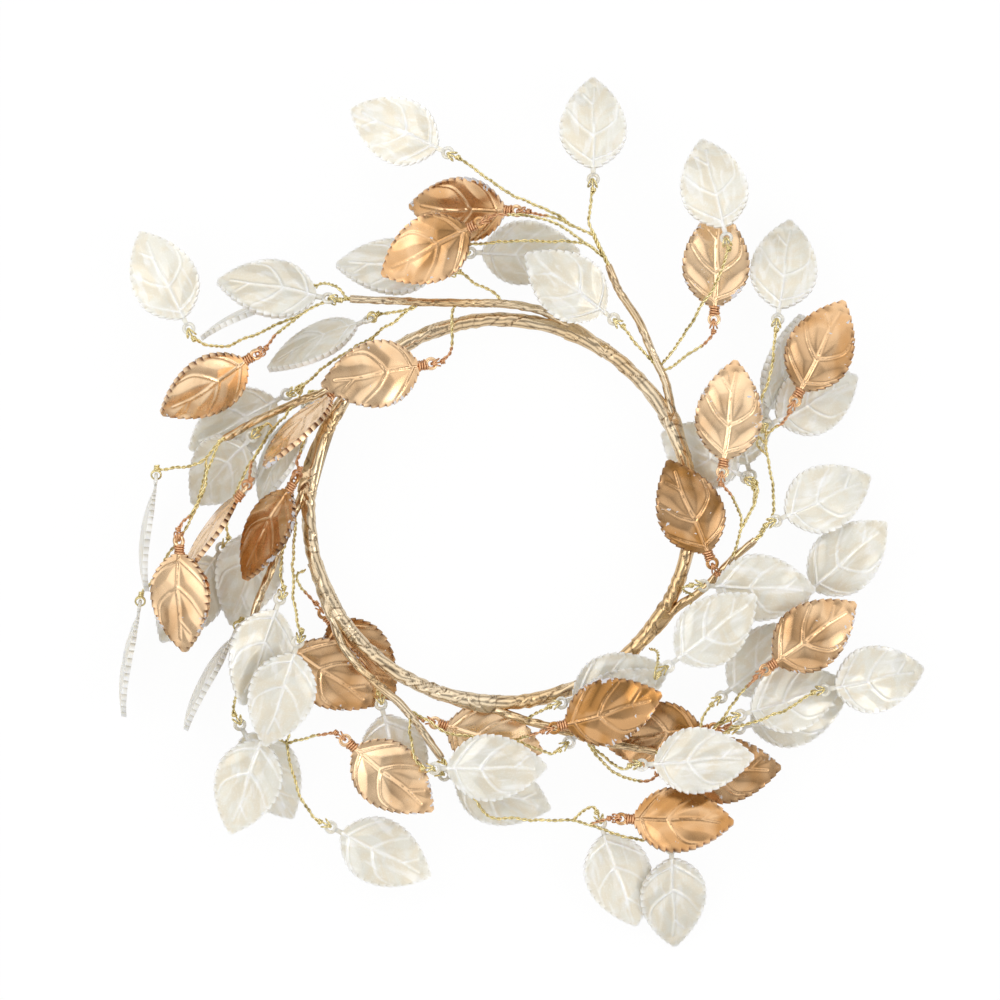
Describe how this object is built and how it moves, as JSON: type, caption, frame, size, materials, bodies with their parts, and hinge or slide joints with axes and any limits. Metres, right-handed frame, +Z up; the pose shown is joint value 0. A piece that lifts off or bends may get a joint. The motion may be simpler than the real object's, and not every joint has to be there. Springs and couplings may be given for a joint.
{
  "type": "candle ring",
  "caption": "Decorative candle ring: a foil-wrapped wire ring with seven wired sprays of pearl and copper coloured moulded leaves.",
  "frame": {"origin": "centre of the candle opening at table height", "axes": "+Z up out of the table, +Y towards the top spray, +X to the right of the top view"},
  "size_m": [0.2167, 0.2344, 0.0316],
  "materials": {
    "pearl_leaf": "pearl satin",
    "copper_leaf": "satin copper paint",
    "copper_wire": "satin copper paint",
    "brass_wire": "bright twisted wire",
    "foil_tape": "crinkled metallic foil",
    "steel_wire": "plain"
  },
  "bodies": {
    "wreath": {"ring_core_wire": "steel_wire", "ring_foil_wrap": "foil_tape", "root_tape_bands": "foil_tape", "copper_neck_bindings": "copper_wire", "top_stem_tape": "foil_tape", "upper_left_stem_tape": "foil_tape", "left_stem_tape": "foil_tape", "lower_left_stem_tape": "foil_tape", "bottom_stem_tape": "foil_tape", "lower_right_stem_tape": "foil_tape", "right_stem_tape": "foil_tape", "top_wires": "brass_wire", "upper_left_wires": "brass_wire", "left_wires": "brass_wire", "lower_left_wires": "brass_wire", "bottom_wires": "brass_wire", "lower_right_wires": "brass_wire", "right_wires": "brass_wire", "top_copper_leaves": "copper_leaf", "upper_left_copper_leaves": "copper_leaf", "left_copper_leaves": "copper_leaf", "lower_left_copper_leaves": "copper_leaf", "bottom_copper_leaves": "copper_leaf", "lower_right_copper_leaves": "copper_leaf", "right_copper_leaves": "copper_leaf", "top_pearl_leaves": "pearl_leaf", "upper_left_pearl_leaves": "pearl_leaf", "left_pearl_leaves": "pearl_leaf", "lower_left_pearl_leaves": "pearl_leaf", "bottom_pearl_leaves": "pearl_leaf", "lower_right_pearl_leaves": "pearl_leaf", "right_pearl_leaves": "pearl_leaf"},
    "top_leaf_1": {"top_leaf_1": "pearl_leaf"},
    "top_leaf_2": {"top_leaf_2": "pearl_leaf"},
    "top_leaf_6": {"top_leaf_6": "pearl_leaf"},
    "top_leaf_7": {"top_leaf_7": "pearl_leaf"},
    "upper_left_leaf_3": {"upper_left_leaf_3": "pearl_leaf"},
    "upper_left_leaf_5": {"upper_left_leaf_5": "pearl_leaf"},
    "upper_left_leaf_6": {"upper_left_leaf_6": "pearl_leaf"},
    "left_leaf_1": {"left_leaf_1": "pearl_leaf"},
    "lower_left_leaf_4": {"lower_left_leaf_4": "pearl_leaf"},
    "lower_left_leaf_5": {"lower_left_leaf_5": "pearl_leaf"},
    "lower_left_leaf_8": {"lower_left_leaf_8": "pearl_leaf"},
    "lower_left_leaf_11": {"lower_left_leaf_11": "pearl_leaf"},
    "bottom_leaf_4": {"bottom_leaf_4": "pearl_leaf"},
    "bottom_leaf_8": {"bottom_leaf_8": "pearl_leaf"},
    "lower_right_leaf_1": {"lower_right_leaf_1": "pearl_leaf"},
    "lower_right_leaf_4": {"lower_right_leaf_4": "pearl_leaf"},
    "lower_right_leaf_9": {"lower_right_leaf_9": "pearl_leaf"},
    "right_leaf_5": {"right_leaf_5": "pearl_leaf"},
    "right_leaf_9": {"right_leaf_9": "pearl_leaf"},
    "right_leaf_10": {"right_leaf_10": "pearl_leaf"},
    "right_leaf_12": {"right_leaf_12": "pearl_leaf"}
  },
  "joints": [
    {"name": "top_leaf_1_swivel", "type": "hinge", "parent": "wreath", "child": "top_leaf_1", "pos_m": [0.025, 0.089, 0.02], "axis": [0, 0.4061, 0.9138], "range_deg": [-20, 20]},
    {"name": "top_leaf_2_swivel", "type": "hinge", "parent": "wreath", "child": "top_leaf_2", "pos_m": [-0.014, 0.096, 0.021], "axis": [-0.2722, 0.1256, 0.954], "range_deg": [-20, 20]},
    {"name": "top_leaf_6_swivel", "type": "hinge", "parent": "wreath", "child": "top_leaf_6", "pos_m": [0.0305, 0.0515, 0.018], "axis": [0.1855, -0.1357, 0.9732], "range_deg": [-4, 20]},
    {"name": "top_leaf_7_swivel", "type": "hinge", "parent": "wreath", "child": "top_leaf_7", "pos_m": [0.0605, 0.073, 0.027], "axis": [-0.0954, 0.4054, 0.9092], "range_deg": [-20, 20]},
    {"name": "upper_left_leaf_3_swivel", "type": "hinge", "parent": "wreath", "child": "upper_left_leaf_3", "pos_m": [-0.0355, 0.0515, 0.016], "axis": [-0.437, 0.7498, 0.4969], "range_deg": [-20, 15]},
    {"name": "upper_left_leaf_5_swivel", "type": "hinge", "parent": "wreath", "child": "upper_left_leaf_5", "pos_m": [-0.046, 0.057, 0.022], "axis": [0.0478, 0.5287, 0.8475], "range_deg": [-20, 20]},
    {"name": "upper_left_leaf_6_swivel", "type": "hinge", "parent": "wreath", "child": "upper_left_leaf_6", "pos_m": [-0.0835, 0.049, 0.017], "axis": [-0.1079, 0.2116, 0.9714], "range_deg": [-20, 20]},
    {"name": "left_leaf_1_swivel", "type": "hinge", "parent": "wreath", "child": "left_leaf_1", "pos_m": [-0.0925, 0.0085, 0.013], "axis": [-0.9926, 0.0841, 0.0872], "range_deg": [-5, 20]},
    {"name": "lower_left_leaf_4_swivel", "type": "hinge", "parent": "wreath", "child": "lower_left_leaf_4", "pos_m": [-0.059, -0.0235, 0.021], "axis": [0.3338, -0.0826, 0.939], "range_deg": [-20, 20]},
    {"name": "lower_left_leaf_5_swivel", "type": "hinge", "parent": "wreath", "child": "lower_left_leaf_5", "pos_m": [-0.054, -0.035, 0.028], "axis": [0.0916, -0.2792, 0.9558], "range_deg": [-20, 20]},
    {"name": "lower_left_leaf_8_swivel", "type": "hinge", "parent": "wreath", "child": "lower_left_leaf_8", "pos_m": [-0.063, -0.0585, 0.018], "axis": [-0.0519, -0.1558, 0.9864], "range_deg": [-20, 20]},
    {"name": "lower_left_leaf_11_swivel", "type": "hinge", "parent": "wreath", "child": "lower_left_leaf_11", "pos_m": [-0.0455, -0.085, 0.012], "axis": [0.0885, -0.0442, 0.9951], "range_deg": [-20, 20]},
    {"name": "bottom_leaf_4_swivel", "type": "hinge", "parent": "wreath", "child": "bottom_leaf_4", "pos_m": [-0.0175, -0.069, 0.02], "axis": [0.0159, 0.0003, 0.9999], "range_deg": [-20, 3]},
    {"name": "bottom_leaf_8_swivel", "type": "hinge", "parent": "wreath", "child": "bottom_leaf_8", "pos_m": [0.027, -0.084, 0.012], "axis": [0.0748, -0.213, 0.9742], "range_deg": [-20, 3]},
    {"name": "lower_right_leaf_1_swivel", "type": "hinge", "parent": "wreath", "child": "lower_right_leaf_1", "pos_m": [0.0165, -0.0515, 0.016], "axis": [0, 0, 1], "range_deg": [-20, 4]},
    {"name": "lower_right_leaf_4_swivel", "type": "hinge", "parent": "wreath", "child": "lower_right_leaf_4", "pos_m": [0.038, -0.068, 0.021], "axis": [-0.0124, 0.1732, 0.9848], "range_deg": [-20, 10]},
    {"name": "lower_right_leaf_9_swivel", "type": "hinge", "parent": "wreath", "child": "lower_right_leaf_9", "pos_m": [0.087, -0.048, 0.018], "axis": [0.3969, 0.0824, 0.9142], "range_deg": [-20, 20]},
    {"name": "right_leaf_5_swivel", "type": "hinge", "parent": "wreath", "child": "right_leaf_5", "pos_m": [0.0745, 0.0515, 0.018], "axis": [0.0592, 0.44, 0.896], "range_deg": [-20, 2]},
    {"name": "right_leaf_9_swivel", "type": "hinge", "parent": "wreath", "child": "right_leaf_9", "pos_m": [0.074, -0.0026, 0.019], "axis": [0.3211, 0.1485, 0.9353], "range_deg": [-12, 16]},
    {"name": "right_leaf_10_swivel", "type": "hinge", "parent": "wreath", "child": "right_leaf_10", "pos_m": [0.0815, -0.023, 0.011], "axis": [0.0495, 0.044, 0.9978], "range_deg": [-20, 20]},
    {"name": "right_leaf_12_swivel", "type": "hinge", "parent": "wreath", "child": "right_leaf_12", "pos_m": [0.045, -0.0415, 0.027], "axis": [0.0251, 0.0204, 0.9995], "range_deg": [-15, 20]}
  ]
}
